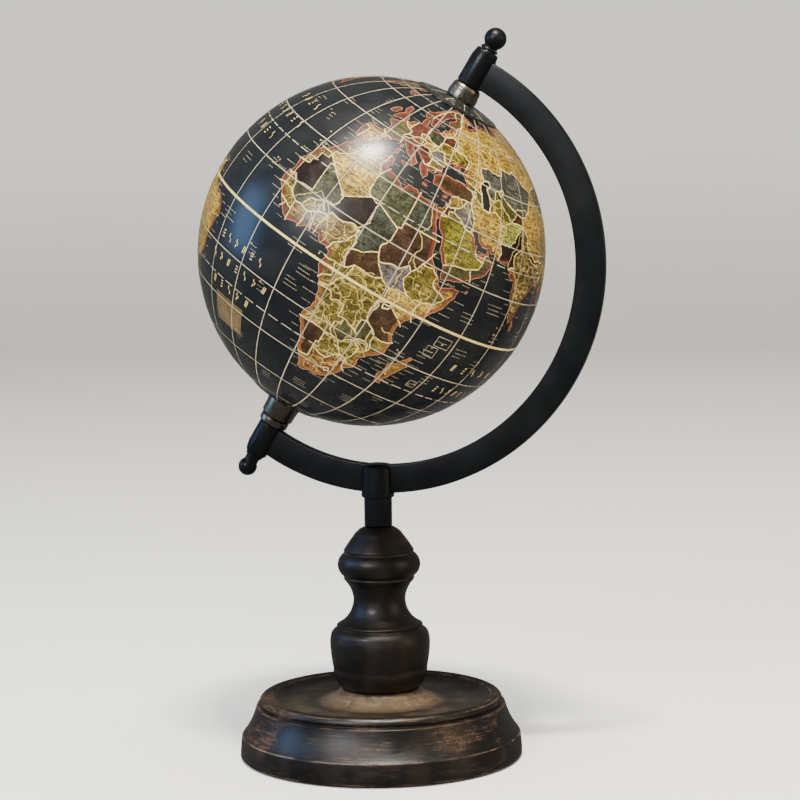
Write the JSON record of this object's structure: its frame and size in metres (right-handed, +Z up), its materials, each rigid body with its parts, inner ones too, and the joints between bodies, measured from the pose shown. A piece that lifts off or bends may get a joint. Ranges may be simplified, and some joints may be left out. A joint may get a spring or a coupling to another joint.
{
  "type": "desktop globe",
  "caption": "Desktop world globe with a dark printed map, spinning on a tilted axle held by a flat black arc on a turned dark wood stand with a dished base",
  "frame": {"origin": "middle of the flat underside that the stand rests on", "axes": "+Z up; the arc lies in the XZ plane, bulging to +X; the axle leans from the vertical towards +X at its upper end"},
  "size_m": [0.1486, 0.1254, 0.2622],
  "materials": {
    "dark_wood": "near-black brown stain under a worn satin varnish, rubbed lighter on edges",
    "felt": "dark felt",
    "black_metal": "satin black paint",
    "nickel": "worn nickel plate",
    "steel": "plain turned steel",
    "printed_globe": "printed map on dark ground under gloss varnish",
    "nylon": "moulded white nylon",
    "board": "rough pressed board"
  },
  "bodies": {
    "stand": {"base_disc": "dark_wood", "base_felt_pad": "felt", "base_washer": "steel", "base_nut": "steel", "tie_rod": "steel", "spindle": "dark_wood", "arc_post": "black_metal", "post_cross_pin": "black_metal", "meridian_arc": "black_metal", "upper_sleeve": "black_metal", "lower_sleeve": "black_metal", "upper_finial": "black_metal", "lower_finial": "black_metal", "axle_rod": "steel", "lower_spacer_ring": "nickel"},
    "globe": {"globe_north_shell": "printed_globe", "globe_south_shell": "printed_globe", "equator_joining_ring": "board", "north_pole_bushing": "nylon", "south_pole_bushing": "nylon", "north_pole_calotte": "printed_globe", "south_pole_calotte": "printed_globe", "upper_ferrule": "nickel", "lower_ferrule": "nickel"}
  },
  "joints": [
    {"name": "globe_spin", "type": "hinge", "parent": "stand", "child": "globe", "pos_m": [-0.001, 0, 0.1837], "axis": [0.5321, 0, 0.8467], "continuous": true}
  ]
}
